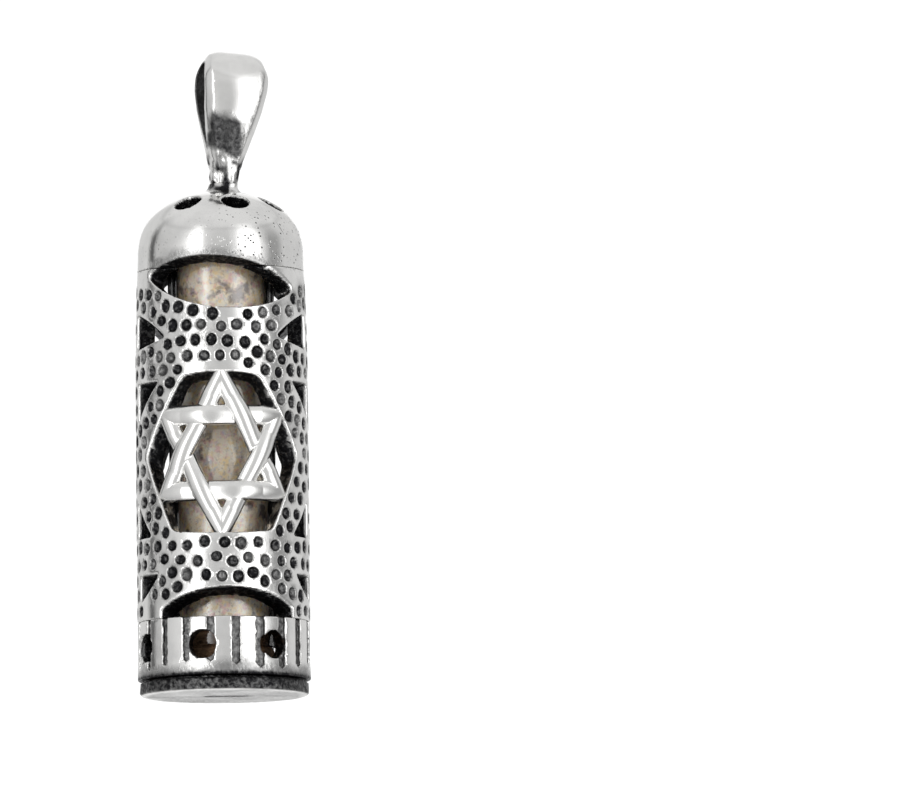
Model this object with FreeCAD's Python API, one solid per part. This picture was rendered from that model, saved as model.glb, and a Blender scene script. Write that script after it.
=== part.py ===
"""Mezuzah case pendant: a pierced silver tube with a domed top, a bail and a screw-in base, which holds a
rolled scroll in a glass vial.

Units are millimetres. The origin is the middle of the base's underside and +Z runs up the case's axis.
The front faces -Y. Angles round the case are in degrees from the front, towards +X.
"""

import os

import FreeCAD, Part
from FreeCAD import Base
from math import acos, atan2, cos, hypot, pi, radians, sin, sqrt

# Case shell
CASE_R = 4.23  # outer radius of the tube
SEAM_R = 4.08  # outer radius where the tube's slight taper meets the dome
BORE_R = 3.3  # inner radius of the tube
TAPER_Z = 14.0  # the tube is straight below this level and tapers above it
FOOT_Z = 0.76  # underside of the foot ring
SLEEVE_Z = 3.6  # foot ring's top, and the sleeve's lower rim
CAP_Z = 20.8  # sleeve's upper rim, and the dome cap's lower rim
DOME_Z = 21.3  # where the dome starts to round over
DOME_TOP = 24.8  # apex outside
DOME_TOP_IN = 23.95  # apex inside
DOME_POWER = 2.7  # how square the dome's shoulder is
DOME_STEPS = 12  # points along the dome's curve

# Openings in the shell
HOLES = 7  # round holes in the dome, and again in the foot ring
LENS_SLOPE = 0.006  # how much lower the lens window gets with each degree to the right
DOME_HOLE_R = 0.68
DOME_HOLE_TILT = 33.0  # degrees from the axis, from a point on the axis at DOME_HOLE_FROM_Z
DOME_HOLE_FROM_Z = 19.9
DOME_HOLE_START = -35.0
FOOT_HOLE_R = 0.7
FOOT_HOLE_Z = 2.25
FOOT_HOLE_START = -14.5
GROOVES = 21  # upright grooves round the foot ring
GROOVE_WIDTH = 0.4
GROOVE_DEPTH = 0.2
GROOVE_LOW_Z = 1.15

SIDE_BAR = 1.74  # width of the upright bar that divides each side window

# Hexagonal window: levels of its flat edges, and the angles at which its corners lie
WINDOW_Z = 11.62
HEX_LOW_Z, HEX_HIGH_Z = 7.75, 15.45
HEX_LOW_TURN, HEX_SIDE_TURN, HEX_HIGH_TURN = 36, 61, 26

# Star emblem in the hexagonal window
STAR_LINE = 1.85  # from the star's middle to the middle line of each bar
STAR_HALF_BAR = 0.5
STAR_R_IN = 3.62
STAR_R_OUT = 4.33

# Bail
BAIL_X = 0.17  # the bail stands a little off the case's axis
BAIL_Z = 25.15  # underside of the loop, on top of its post
BAIL_TOP = 31.62
BAIL_DEPTH = 3.7  # front to back, at its fullest
BAIL_FULL_Z = 29.4
BAIL_WIDE_Z = 30.5  # level where the strap is widest
BAIL_SHOULDER_DROP = 0.16  # from the top to the rounded shoulders
BAIL_STRAP = 0.45  # thickness of the strap
BAIL_EYE_TIP = 0.03  # half width of the eye's lower corner
BAIL_EYE_UP = 1.0  # from the loop's underside to the eye's lower corner
BAIL_NECK_DEPTH = 1.25
BAIL_NECK_W = 1.36
BAIL_NECK_TALL = 0.6
BAIL_WIDE_W = 3.34
BAIL_FULL_SHARE = 0.93  # share of that width at BAIL_FULL_Z
BAIL_SHOULDER_SHARE = 0.85  # and at the rounded shoulders
BAIL_TURN = 12.0  # degrees about Z that the loop stands off square
BAIL_LEAN = 5.3  # degrees that the loop leans towards +X
POST_R = 0.68
POST_FILLET = 0.12
POST_FLANGE_R = 1.15
FLANGE_LOW = 0.3  # how far the flange reaches below the dome's apex
TENON_R = 0.5
TENON_OUT = 0.1  # how far the tenon comes through inside the dome

# Base, vial and scroll
DISC_R = 4.15
DISC_H = 0.62
DISC_EDGE = 0.14
SHOULDER_R = 3.72
SHOULDER_GAP = 0.02  # between the base's shoulder and the foot ring
BOSS_R = 3.26
BOSS_TOP = 1.5
THREAD_PITCH = 0.3
THREAD_DEPTH = 0.09
THREAD_START = 0.1  # plain length above the shoulder
SEAT_R = 2.72  # pocket in the boss that centres the vial's stopper
SEAT_DEPTH = 0.15
SLOT = (1.9, 0.34, 0.22)  # coin slot in the underside: length, width, depth
VIAL_R = 2.6
VIAL_WALL = 0.22
VIAL_MOUTH = 2.3
VIAL_TOP = 23.1
VIAL_CORNER = 1.3
STOPPER_HEAD_R = 2.5
STOPPER_TOP = 3.55
STOPPER_CLEARANCE = 0.03
STOPPER_BEVEL = 0.1
SCROLL_R = 2.32
SCROLL_HOLLOW_R = 1.25
SCROLL_Z = 3.62
SCROLL_TOP = 21.25

Z_AXIS = FreeCAD.Vector(0, 0, 1)
SWEEP_IN, SWEEP_OUT = 2.8, 4.9  # radii between which a radial cutter reaches


def at(r, angle, z):
    """Point at a radius, an angle from the front and a level."""
    return FreeCAD.Vector(r * sin(radians(angle)), -r * cos(radians(angle)), z)


def cylinder(r, low, high):
    return Part.makeCylinder(r, high - low, FreeCAD.Vector(0, 0, low))


def turned(points):
    """Solid of revolution about Z from straight runs between (radius, level) points."""
    corners = [FreeCAD.Vector(r, 0, z) for r, z in points]
    face = Part.Face(Part.makePolygon(corners + corners[:1]))
    return face.revolve(FreeCAD.Vector(), Z_AXIS, 360)


def radial(edges, r_in=SWEEP_IN, r_out=SWEEP_OUT):
    """Solid between two radii over an outline on the unrolled tube.

    Each edge is a list of (angle, level) points: two make a straight run, more make a smooth curve.
    """
    tube = Part.Cylinder()
    tube.Radius = r_in
    made = []
    for points in edges:
        flat = [Base.Vector2d(radians(a - 90) + 2 * pi, z) for a, z in points]
        if len(flat) == 2:
            made.append(Part.Geom2d.Line2dSegment(*flat).toShape(tube))
        else:
            curve = Part.Geom2d.BSplineCurve2d()
            curve.interpolate(flat)
            made.append(curve.toShape(tube))
    patch = Part.Face(tube, Part.Wire(made))
    return patch.makeOffsetShape(r_out - r_in, 1e-3, fill=True)


def polygon_edges(corners):
    return [[a, b] for a, b in zip(corners, corners[1:] + corners[:1])]


def spun(shape, angle):
    copy = shape.copy()
    copy.rotate(FreeCAD.Vector(), Z_AXIS, angle)
    return copy


def lens_windows():
    """Tilted smile-shaped windows under the dome, cut half from the dome and half from the sleeve.

    They go straight through from the front to the back.
    """
    low = [(-61, 20.2), (-42, 19.42), (0, 18.8), (42, 19.42), (61, 20.2)]
    high = [(61, 20.2), (44, 20.94), (0, 21.36), (-44, 20.94), (-61, 20.2)]
    front = radial([[(turn, z - LENS_SLOPE * turn) for turn, z in side] for side in (low, high)])
    return [front, front.mirror(FreeCAD.Vector(), FreeCAD.Vector(0, 1, 0))]


def hexagon_window():
    right = [(HEX_HIGH_TURN, HEX_HIGH_Z), (HEX_SIDE_TURN, WINDOW_Z), (HEX_LOW_TURN, HEX_LOW_Z)]
    left = [(-turn, z) for turn, z in reversed(right)]
    return radial(polygon_edges(right + left))


def half_moon_window():
    """Window over the foot ring, with its arched edge in the sleeve."""
    arch = [(-51, 4.1), (-30, 4.85), (0, 5.1), (30, 4.85), (51, 4.1)]
    below = SLEEVE_Z - 1
    return radial([arch, [(51, 4.1), (49, below)], [(49, below), (-49, below)], [(-49, below), (-51, 4.1)]])


def side_windows():
    """The windows on the side of the tube, about angle 0, each divided by an upright bar.

    The caller spins them to +X and -X.
    """
    bow_tie = [
        [(-49, 17.4), (-25, 18.45), (0, 18.8), (25, 18.45), (49, 17.4)],
        [(49, 17.4), (22, 16.98), (0, 16.88), (-22, 16.98), (-49, 17.4)],
    ]
    upper_tip = polygon_edges([(-40, 15.3), (40, 15.3), (13, 13.3), (0, 12.55), (-13, 13.3)])
    lower_tip = polygon_edges([(-35, 7.65), (-19, 9.35), (0, 10.45), (19, 9.35), (35, 7.65)])
    low_arch = [
        [(-37, 5.88), (37, 5.88)],
        [(37, 5.88), (18, 4.85), (0, 4.5), (-18, 4.85), (-37, 5.88)],
    ]
    bar = Part.makeBox(SIDE_BAR, SWEEP_OUT + 1, CAP_Z)
    bar.translate(FreeCAD.Vector(-SIDE_BAR / 2, -SWEEP_OUT - 1, 0))
    return [radial(edges).cut(bar) for edges in (bow_tie, upper_tip, lower_tip, low_arch)]


def tube_outside():
    """Outer body of the case from the foot ring to the dome's apex."""
    low = FreeCAD.Vector(CASE_R, 0, FOOT_Z)
    knee = FreeCAD.Vector(CASE_R, 0, TAPER_Z)
    seam = FreeCAD.Vector(SEAM_R, 0, DOME_Z)
    half = (DOME_Z - TAPER_Z) / 2
    middle = FreeCAD.Vector(CASE_R - (CASE_R - SEAM_R) / 4, 0, TAPER_Z + half)
    dome = Part.BSplineCurve()
    dome.interpolate([dome_point(SEAM_R, DOME_TOP, i / DOME_STEPS) for i in range(DOME_STEPS + 1)])
    edges = [
        Part.makeLine(FreeCAD.Vector(0, 0, FOOT_Z), low),
        Part.makeLine(low, knee),
        Part.Arc(knee, middle, seam).toShape(),
        dome.toShape(),
        Part.makeLine(FreeCAD.Vector(0, 0, DOME_TOP), FreeCAD.Vector(0, 0, FOOT_Z)),
    ]
    return Part.Face(Part.Wire(edges)).revolve(FreeCAD.Vector(), Z_AXIS, 360)


def tube_inside():
    """The hollow: the bore, rounded over inside the dome."""
    corner = FreeCAD.Vector(BORE_R, 0, FOOT_Z - 1)
    dome = Part.BSplineCurve()
    dome.interpolate([dome_point(BORE_R, DOME_TOP_IN, i / DOME_STEPS) for i in range(DOME_STEPS + 1)])
    edges = [
        Part.makeLine(FreeCAD.Vector(0, 0, FOOT_Z - 1), corner),
        Part.makeLine(corner, FreeCAD.Vector(BORE_R, 0, DOME_Z)),
        dome.toShape(),
        Part.makeLine(FreeCAD.Vector(0, 0, DOME_TOP_IN), FreeCAD.Vector(0, 0, FOOT_Z - 1)),
    ]
    return Part.Face(Part.Wire(edges)).revolve(FreeCAD.Vector(), Z_AXIS, 360)


def dome_point(radius, top, share):
    """Point on the dome's superellipse: share 0 is at the seam and 1 is the apex."""
    height = sin(share * pi / 2) ** (2 / DOME_POWER)
    r = radius * sqrt(max(0.0, 1 - height**DOME_POWER))
    return FreeCAD.Vector(r, 0, DOME_Z + (top - DOME_Z) * height)


def shell_between(low, high):
    wall = tube_outside().cut(tube_inside())
    return wall.common(cylinder(CASE_R + 1, low, high))


def dome_cap():
    cap = shell_between(CAP_Z, DOME_TOP + 1)
    start = FreeCAD.Vector(0, 0, DOME_HOLE_FROM_Z)
    holes = []
    for i in range(HOLES):
        angle = DOME_HOLE_START + i * 360 / HOLES
        out = at(sin(radians(DOME_HOLE_TILT)), angle, cos(radians(DOME_HOLE_TILT)))
        holes.append(Part.makeCylinder(DOME_HOLE_R, 8, start, out))
    socket = cylinder(TENON_R, DOME_TOP_IN - 1, DOME_TOP + 1)
    socket.translate(FreeCAD.Vector(BAIL_X, 0, 0))
    return cap.cut([*lens_windows(), socket, *holes])


def lattice_sleeve():
    front = [hexagon_window(), half_moon_window()]
    side = side_windows()
    cutters = [spun(c, turn) for c in front for turn in (0, 180)]
    cutters += [spun(c, turn) for c in side for turn in (90, -90)]
    return shell_between(SLEEVE_Z, CAP_Z).cut(lens_windows() + cutters)


def foot_ring():
    ring = shell_between(FOOT_Z, SLEEVE_Z)
    cutters = []
    for i in range(GROOVES):
        angle = (i + 0.5) * 360 / GROOVES
        bar = Part.makeBox(GROOVE_WIDTH, 1, SLEEVE_Z - GROOVE_LOW_Z + 1)
        bar.translate(FreeCAD.Vector(-GROOVE_WIDTH / 2, -CASE_R + GROOVE_DEPTH - 1, GROOVE_LOW_Z))
        cutters.append(spun(bar, angle))
    for i in range(HOLES):
        angle = FOOT_HOLE_START + i * 360 / HOLES
        cutters.append(Part.makeCylinder(FOOT_HOLE_R, 8, FreeCAD.Vector(0, 0, FOOT_HOLE_Z), at(1, angle, 0)))
    return ring.cut(cutters)


def star_patch(corners):
    """Radial solid of a polygon given in millimetres round the tube and up from the window's middle."""
    edges = polygon_edges([(x / CASE_R * 180 / pi, WINDOW_Z + z) for x, z in corners])
    return radial(edges, STAR_R_IN, STAR_R_OUT)


def triangle(distance, up):
    """Corners of the triangle whose sides lie at a distance from the middle, point up or down."""
    turns = [90, 210, 330] if up else [30, 150, 270]
    return [(2 * distance * cos(radians(t)), 2 * distance * sin(radians(t))) for t in turns]


def emblem():
    """Six-pointed star of two triangular frames, cut off where it meets the window's edges."""
    frames = []
    for up in (True, False):
        outer = star_patch(triangle(STAR_LINE + STAR_HALF_BAR, up))
        frames.append(outer.cut(star_patch(triangle(STAR_LINE - STAR_HALF_BAR, up))))
    star = frames[0].fuse(frames[1]).removeSplitter()
    return star.common(hexagon_window())


def teardrop(r, tip_half, tip_z):
    """Side view of the loop in the YZ plane: an arc over the top with tangent sides down to a narrow tip."""
    middle_z = BAIL_TOP - BAIL_DEPTH / 2
    reach = hypot(tip_half, middle_z - tip_z)
    turn = acos(r / reach) - atan2(middle_z - tip_z, tip_half)
    side = FreeCAD.Vector(0, r * cos(turn), middle_z + r * sin(turn))
    other_side = FreeCAD.Vector(0, -side.y, side.z)
    tip = FreeCAD.Vector(0, tip_half, tip_z)
    other_tip = FreeCAD.Vector(0, -tip_half, tip_z)
    top = FreeCAD.Vector(0, 0, middle_z + r)
    edges = [Part.makeLine(tip, side), Part.Arc(side, top, other_side).toShape()]
    edges += [Part.makeLine(other_side, other_tip), Part.makeLine(other_tip, tip)]
    face = Part.Face(Part.Wire(edges))
    face.translate(FreeCAD.Vector(-BAIL_DEPTH, 0, 0))
    return face.extrude(FreeCAD.Vector(2 * BAIL_DEPTH, 0, 0))


def bail_front():
    """Front view of the loop: widest near the top and narrow at the neck."""
    neck, wide = BAIL_NECK_W / 2, BAIL_WIDE_W / 2
    crown = FreeCAD.Vector(0, 0, BAIL_TOP + 0.01)
    right = [FreeCAD.Vector(neck, 0, BAIL_Z - 1), FreeCAD.Vector(neck, 0, BAIL_Z + BAIL_NECK_TALL),
             FreeCAD.Vector(wide * BAIL_FULL_SHARE, 0, BAIL_FULL_Z), FreeCAD.Vector(wide, 0, BAIL_WIDE_Z)]
    left = [FreeCAD.Vector(-p.x, 0, p.z) for p in right]
    edges = [Part.makeLine(a, b) for a, b in zip(right, right[1:])]
    shoulder = FreeCAD.Vector(wide * BAIL_SHOULDER_SHARE, 0, BAIL_TOP - BAIL_SHOULDER_DROP)
    other_shoulder = FreeCAD.Vector(-shoulder.x, 0, shoulder.z)
    edges.append(Part.Arc(right[-1], shoulder, crown).toShape())
    edges.append(Part.Arc(crown, other_shoulder, left[-1]).toShape())
    edges += [Part.makeLine(b, a) for a, b in reversed(list(zip(left, left[1:])))]
    edges.append(Part.makeLine(left[0], right[0]))
    face = Part.Face(Part.Wire(edges))
    face.translate(FreeCAD.Vector(0, -BAIL_DEPTH, 0))
    return face.extrude(FreeCAD.Vector(0, 2 * BAIL_DEPTH, 0))


def bail_loop():
    eye = teardrop(BAIL_DEPTH / 2 - BAIL_STRAP, BAIL_EYE_TIP, BAIL_Z + BAIL_EYE_UP)
    loop = teardrop(BAIL_DEPTH / 2, BAIL_NECK_DEPTH / 2, BAIL_Z).cut(eye).common(bail_front())
    foot = FreeCAD.Vector(0, 0, BAIL_Z)
    loop.rotate(foot, FreeCAD.Vector(0, 1, 0), BAIL_LEAN)
    loop.rotate(foot, Z_AXIS, BAIL_TURN)
    loop.translate(FreeCAD.Vector(BAIL_X, 0, 0))
    return loop.cut(cylinder(4, BAIL_Z - 2, BAIL_Z))


def bail_post():
    low, flange, top = DOME_TOP_IN - TENON_OUT, DOME_TOP - FLANGE_LOW, DOME_TOP - TENON_OUT
    fillet = [(POST_R + POST_FILLET, DOME_TOP + POST_FILLET / 2), (POST_R, DOME_TOP + 2 * POST_FILLET)]
    profile = [(0, low), (TENON_R, low), (TENON_R, flange), (POST_FLANGE_R, flange), (POST_FLANGE_R, top)]
    profile += [*fillet, (POST_R, BAIL_Z), (0, BAIL_Z)]
    post = turned(profile)
    post.translate(FreeCAD.Vector(BAIL_X, 0, 0))
    return post.cut(dome_cap())


def base_plug():
    rim = DISC_R - DISC_EDGE
    shoulder_z = FOOT_Z - SHOULDER_GAP
    profile = [(0, 0), (rim, 0), (DISC_R, DISC_EDGE), (DISC_R, DISC_H), (SHOULDER_R, DISC_H),
               (SHOULDER_R, shoulder_z), (BOSS_R - THREAD_DEPTH, shoulder_z)]
    level = shoulder_z + THREAD_START
    while level + THREAD_PITCH / 2 < BOSS_TOP:
        profile += [(BOSS_R - THREAD_DEPTH, level), (BOSS_R, level + THREAD_PITCH / 4)]
        profile += [(BOSS_R - THREAD_DEPTH, level + THREAD_PITCH / 2)]
        level += THREAD_PITCH
    seat = BOSS_TOP - SEAT_DEPTH
    profile += [(BOSS_R - THREAD_DEPTH, BOSS_TOP), (SEAT_R, BOSS_TOP), (SEAT_R, seat), (0, seat)]
    length, width, depth = SLOT
    slot = Part.makeBox(length, width, depth, FreeCAD.Vector(-length / 2, -width / 2, 0))
    return turned(profile).cut(slot)


def glass_vial():
    outside = cylinder(VIAL_R, VIAL_MOUTH, VIAL_TOP)
    rim = [e for e in outside.Edges if e.BoundBox.ZMin > VIAL_TOP - 0.01]
    outside = outside.makeFillet(VIAL_CORNER, rim)
    inner_r, inner_top = VIAL_R - VIAL_WALL, VIAL_TOP - VIAL_WALL
    inside = cylinder(inner_r, VIAL_MOUTH - 1, inner_top)
    rim = [e for e in inside.Edges if e.BoundBox.ZMin > inner_top - 0.01]
    inside = inside.makeFillet(VIAL_CORNER - VIAL_WALL, rim)
    return outside.cut(inside)


def vial_stopper():
    seat = BOSS_TOP - SEAT_DEPTH
    shank = VIAL_R - VIAL_WALL - STOPPER_CLEARANCE
    head = [(0, seat), (STOPPER_HEAD_R - STOPPER_BEVEL, seat), (STOPPER_HEAD_R, seat + STOPPER_BEVEL)]
    neck = [(STOPPER_HEAD_R, VIAL_MOUTH), (shank, VIAL_MOUTH), (shank, STOPPER_TOP - 2 * STOPPER_BEVEL)]
    return turned([*head, *neck, (shank - STOPPER_BEVEL, STOPPER_TOP), (0, STOPPER_TOP)])


def scroll():
    return cylinder(SCROLL_R, SCROLL_Z, SCROLL_TOP).cut(cylinder(SCROLL_HOLLOW_R, SCROLL_Z, SCROLL_TOP))


def main():
    front = emblem()
    shapes = {
        "dome_cap": dome_cap(),
        "lattice_sleeve": lattice_sleeve(),
        "foot_ring": foot_ring(),
        "front_emblem": front,
        "back_emblem": spun(front, 180),
        "bail_loop": bail_loop(),
        "bail_post": bail_post(),
        "base_plug": base_plug(),
        "glass_vial": glass_vial(),
        "vial_stopper": vial_stopper(),
        "scroll": scroll(),
    }
    os.makedirs("parts", exist_ok=True)
    for name, shape in shapes.items():
        shape.exportStep(f"parts/{name}.step")
        print(f"{name:16s} valid {shape.isValid()} solids {len(shape.Solids)} volume {shape.Volume:.3f}")


main()
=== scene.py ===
from math import copysign, cos, pi, radians, sin, tau

import bmesh
import bpy
import numpy as np
import openvdb
from mathutils import Matrix, Vector


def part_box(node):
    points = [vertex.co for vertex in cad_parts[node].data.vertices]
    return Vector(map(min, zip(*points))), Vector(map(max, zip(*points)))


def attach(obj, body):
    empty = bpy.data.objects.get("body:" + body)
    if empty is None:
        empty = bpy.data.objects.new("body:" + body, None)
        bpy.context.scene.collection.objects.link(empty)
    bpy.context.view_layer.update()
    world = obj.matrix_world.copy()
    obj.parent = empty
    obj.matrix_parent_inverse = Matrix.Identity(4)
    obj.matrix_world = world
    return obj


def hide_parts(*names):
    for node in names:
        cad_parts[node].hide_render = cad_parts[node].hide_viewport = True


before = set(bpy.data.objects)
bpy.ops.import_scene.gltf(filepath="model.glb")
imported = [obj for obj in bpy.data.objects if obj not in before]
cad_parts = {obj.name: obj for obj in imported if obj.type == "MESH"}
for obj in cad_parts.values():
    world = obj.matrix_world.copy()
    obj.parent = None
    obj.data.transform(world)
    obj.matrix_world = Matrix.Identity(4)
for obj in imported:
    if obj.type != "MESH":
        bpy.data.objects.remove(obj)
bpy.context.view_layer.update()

# Shapes are worked out in millimetres in the row frame: Z runs up the case's axis and the front faces -Y.
# Angles round the case are in degrees from the front, towards +X. Meshes are made in metres.
# A solid is a field: a function of points that is negative inside and close to the distance from the surface.
MM = 0.001
FAR = 9.0  # a distance in millimetres that is too great to matter


def node_box(name):
    """Lowest and highest corner of a CAD node, in millimetres."""
    low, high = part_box(name)
    return np.array(low) / MM, np.array(high) / MM


def level(name, top):
    """Level of a CAD node's top or of its underside."""
    return float(node_box(name)[1 if top else 0][2])


# Case shell
CASE_R = float(node_box("foot_ring")[1][0])
SEAM_R = CASE_R - 0.15
BORE_R = 3.3
WALL = CASE_R - BORE_R
FOOT_Z = level("foot_ring", False)
SLEEVE_Z = level("foot_ring", True)
CAP_Z = level("lattice_sleeve", True)
TAPER_Z = 14.0
DOME_Z = 21.3
DOME_H = 3.5
DOME_H_IN = 2.65
DOME_POWER = 2.7

# Windows, on the unrolled tube: half widths, levels of their corners, and how far their edges bow
SLANT = 0.45  # how much lower a window's opening is at the bore than outside
WINDOW_EDGE = 0.1  # width over which a window's edge is rounded
LENS_HALF, LENS_Z, LENS_RISE, LENS_DROP = 4.5, 20.2, 1.17, 1.4
LENS_SLOPE = 0.081  # how fast the lens gets lower to the right
HEX_Z = 11.62
HEX_TOP, HEX_SIDE, HEX_LOW = (1.95, 15.45), (4.52, HEX_Z), (2.62, 7.85)
HEX_RISE, HEX_DROP = 0.2, 0.15
MOON_HALF, MOON_Z, MOON_RISE = 3.75, 4.1, 1.0
MOON_SIDE = 3.72
TIE_HALF, TIE_Z, TIE_RISE, TIE_DROP = 3.66, 17.4, 1.38, 0.5
UPPER_TIP_HALF, UPPER_TIP_Z, UPPER_TIP_LOW = 2.95, 15.3, 12.45
LOWER_TIP_HALF, LOWER_TIP_Z, LOWER_TIP_HIGH = 2.6, 7.65, 10.5
ARCH_HALF, ARCH_Z, ARCH_DROP = 2.75, 5.86, 1.45
SIDE_BAR = 0.87  # half width of the upright bar that divides the side windows

# Round holes, grooves and the seam
HOLES = 7
DOME_HOLE_R = 0.68
DOME_HOLE_TILT = 33.0
DOME_HOLE_FROM_Z = 19.9
DOME_HOLE_START = -35.0
FOOT_HOLE_R = 0.7
FOOT_HOLE_Z = 2.25
FOOT_HOLE_START = -14.5
GROOVES = 21
GROOVE_HALVES = (0.15, 0.09)  # a groove's least half width, and how much more it may have
GROOVE_FEET = (1.05, 0.35)  # the same for the level of its lower end
GROOVE_DEEP = 0.2
SEAM_GAP = 0.006  # between the dome cap and the sleeve

# Pits punched in the lattice
PIT_R = 0.295
PIT_OUT = 0.07  # how far outside the surface a pit's centre lies
PIT_LOW, PIT_HIGH = 4.05, 19.75
PIT_ROW = 0.77
PIT_GAP = 0.87
PIT_SCATTER = 0.09
PIT_PASSES = 14  # times that the pits move away from one another and from the windows
PIT_APART, PIT_PUSH = 0.8, 0.22
PIT_CLEAR, PIT_CLEAR_PUSH = 0.44, 0.7
PIT_MIN_CLEAR, PIT_MIN_APART = 0.36, 0.5  # a pit that ends up nearer than this is left out
PIT_SIZES, PIT_STRETCHES = (0.92, 1.12), (0.92, 1.09)
PIT_BLACK_SHARE, PIT_GREYS = 0.6, (0.8, 0.95)
PIT_REACH = 0.9  # how far round a pit its distance is charted

# Emblem
STAR_LINE = 1.85  # from the star's middle to the middle of a bar
STAR_HALF_BAR = 0.5
STAR_CREST = float(-node_box("front_emblem")[0][1]) - 0.13
STAR_CROWN = 0.26  # how much lower a bar's edges are than its crest
STAR_WEAVE = 0.12
STAR_BACK = 3.66
STAR_IN_FRAME = 0.06  # how far the star's tips go into the window's edge

rng = np.random.default_rng(18)


# ---------------------------------------------------------------- fields

def smax(a, b, width):
    """The larger of two fields, rounded over a width where they meet."""
    near = np.maximum(width - np.abs(a - b), 0) / width
    return np.maximum(a, b) + near * near * width / 4


def smin(a, b, width):
    """The smaller of two fields, rounded over a width where they meet."""
    return -smax(-a, -b, width)


def smooth_step(low, high, value):
    """0 up to low and 1 from high, or the other way round where low is the larger."""
    t = np.clip((value - low) / (high - low), 0, 1)
    return t * t * (3 - 2 * t)


def polar(p):
    """Radius, angle in degrees from the front, and level of each point."""
    return np.hypot(p[:, 0], p[:, 1]), np.degrees(np.arctan2(p[:, 0], -p[:, 1])), p[:, 2]


NOISE_CELLS = 32
noise_lattice = rng.random((NOISE_CELLS,) * 3).astype(np.float32)


def noise(p, size, seed=0):
    """Smooth noise from -1 to 1 whose bumps are about size millimetres across."""
    q = p / size + 7.31 * seed
    cell = np.floor(q).astype(int)
    t = q - cell
    t = t * t * (3 - 2 * t)
    total = 0.0
    for i in (0, 1):
        for j in (0, 1):
            for k in (0, 1):
                corner = tuple((cell[:, a] + d) % NOISE_CELLS for a, d in enumerate((i, j, k)))
                share = np.abs(1 - i - t[:, 0]) * np.abs(1 - j - t[:, 1]) * np.abs(1 - k - t[:, 2])
                total = total + share * noise_lattice[corner]
    return 2 * total - 1


def outer_radius(z):
    """Outer radius of the straight tube, with its slight taper towards the dome."""
    t = np.clip((z - TAPER_Z) / (DOME_Z - TAPER_Z), 0, 1)
    return CASE_R - (CASE_R - SEAM_R) * t * t


def rounded_top(r, z, radius, height):
    """Field of an upright rod with a superellipse dome: its sides end at DOME_Z."""
    h = np.maximum(z - DOME_Z, 0) / height
    value = (r / radius) ** 2 + h**DOME_POWER - 1
    slope = np.hypot(2 * r / radius**2, DOME_POWER * h ** (DOME_POWER - 1) / height)
    return value / np.maximum(slope, 0.1)


def shell(r, z):
    """Fields of the case's outside and of its bore, both negative within."""
    above = z > DOME_Z
    outside = np.where(above, rounded_top(r, z, SEAM_R, DOME_H), r - outer_radius(z))
    bore = np.where(above, rounded_top(r, z, BORE_R, DOME_H_IN), r - BORE_R)
    return outside, bore


def bowed(u, v, half, base, rise):
    """Inside of the circle through (+-half, base) that bows by rise above that level, or below it."""
    radius = (half**2 + rise**2) / (2 * abs(rise))
    return np.hypot(u, v - base - rise + copysign(radius, rise)) - radius


def edge(u, v, a, b):
    """Side of the line from a to b, clockwise round an opening: negative within the opening."""
    run, climb = b[0] - a[0], b[1] - a[1]
    return (-(u - a[0]) * climb + (v - a[1]) * run) / np.hypot(run, climb)


def window(fields, corner=0.3):
    """The part that all fields share, with its corners rounded."""
    total = fields[0]
    for field in fields[1:]:
        total = smax(total, field, corner)
    return total


def lens(u, v):
    top = bowed(u, v, LENS_HALF, LENS_Z, LENS_RISE)
    low = bowed(u, v, LENS_HALF, LENS_Z, -LENS_DROP)
    return window([top, low], 0.5)


def hexagon(u, v):
    top = bowed(u, v, *HEX_TOP, HEX_RISE)
    low = bowed(u, v, *HEX_LOW, -HEX_DROP)
    return window([top, edge(u, v, HEX_TOP, HEX_SIDE), edge(u, v, HEX_SIDE, HEX_LOW), low], 0.25)


def half_moon(u, v):
    return window([bowed(u, v, MOON_HALF, MOON_Z, MOON_RISE), SLEEVE_Z - v, u - MOON_SIDE], 0.2)


def bow_tie(u, v):
    return window([bowed(u, v, TIE_HALF, TIE_Z, TIE_RISE), bowed(u, v, TIE_HALF, TIE_Z, -TIE_DROP)])


def upper_tip(u, v):
    slant = edge(u, v, (UPPER_TIP_HALF, UPPER_TIP_Z), (0, UPPER_TIP_LOW))
    return window([v - UPPER_TIP_Z, slant])


def lower_tip(u, v):
    slant = edge(u, v, (0, LOWER_TIP_HIGH), (LOWER_TIP_HALF, LOWER_TIP_Z))
    return window([LOWER_TIP_Z - v, slant])


def low_arch(u, v):
    return window([v - ARCH_Z, bowed(u, v, ARCH_HALF, ARCH_Z, -ARCH_DROP)])


# Each window, whether it is on the front and back or on the sides, degrees that it stands off its place,
# and how fast it gets lower to the right
WINDOWS = (
    (lens, True, 0, LENS_SLOPE), (hexagon, True, 0, 0), (half_moon, True, 4, 0), (bow_tie, False, 0, 0),
    (upper_tip, False, 4, 0), (lower_tip, False, 0, 0), (low_arch, False, 5, 0),
)
LENS_ALONE = WINDOWS[:1]


def openings(angle, z, chosen=WINDOWS):
    """Field of the case's windows on the unrolled tube, negative within them."""
    total = np.full(angle.shape, FAR)
    for shape, front, turn, slope in chosen:
        right = np.degrees(np.arcsin(np.sin(np.radians(angle - turn))))
        off = np.abs(right)
        arc = radians(1) * CASE_R * (off if front else 90 - off)
        opening = shape(arc, z + slope * radians(1) * CASE_R * right)
        if not front:
            opening = smax(opening, SIDE_BAR - arc, 0.25)
        total = np.minimum(total, opening)
    return total


def slanted(r, z):
    """Level that a point on a window's wall has outside, because the windows slope down inwards."""
    return z + SLANT * (CASE_R - r) / WALL


# ---------------------------------------------------------------- pits

def room_at(places):
    """Distance from each place on the unrolled tube, an arc and a level, to the nearest window."""
    return openings(np.degrees(places[:, 0] / CASE_R), places[:, 1])


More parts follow.
